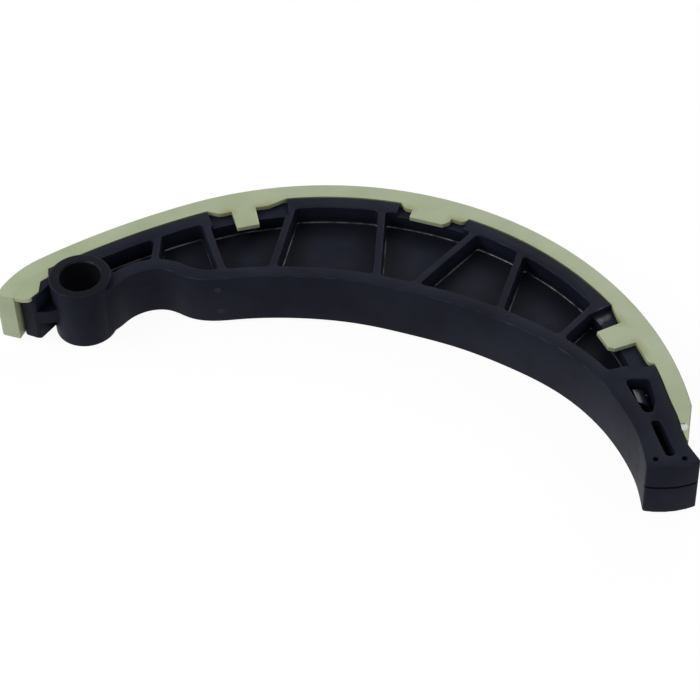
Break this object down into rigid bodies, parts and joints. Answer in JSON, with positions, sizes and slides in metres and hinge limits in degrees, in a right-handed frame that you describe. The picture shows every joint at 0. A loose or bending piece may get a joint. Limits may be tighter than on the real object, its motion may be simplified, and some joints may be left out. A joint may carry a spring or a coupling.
{
  "type": "timing chain guide",
  "caption": "Curved chain guide that pivots on a plain bore: a ribbed black nylon carrier with a square foot, and a pale slide shoe clipped along its convex side.",
  "frame": {"origin": "middle of the bounding box in plan, at the pivot boss's lower end face, on which the guide lies", "axes": "+X from the pivot towards the foot, +Y towards the convex running side, +Z along the pivot axis, across the chain"},
  "size_m": [0.2046, 0.0874, 0.02],
  "materials": {
    "carrier": "satin black glass-filled nylon",
    "slide_shoe": "smooth pale green natural nylon"
  },
  "bodies": {
    "root": {"carrier": "carrier", "slide_shoe": "slide_shoe"}
  },
  "joints": []
}
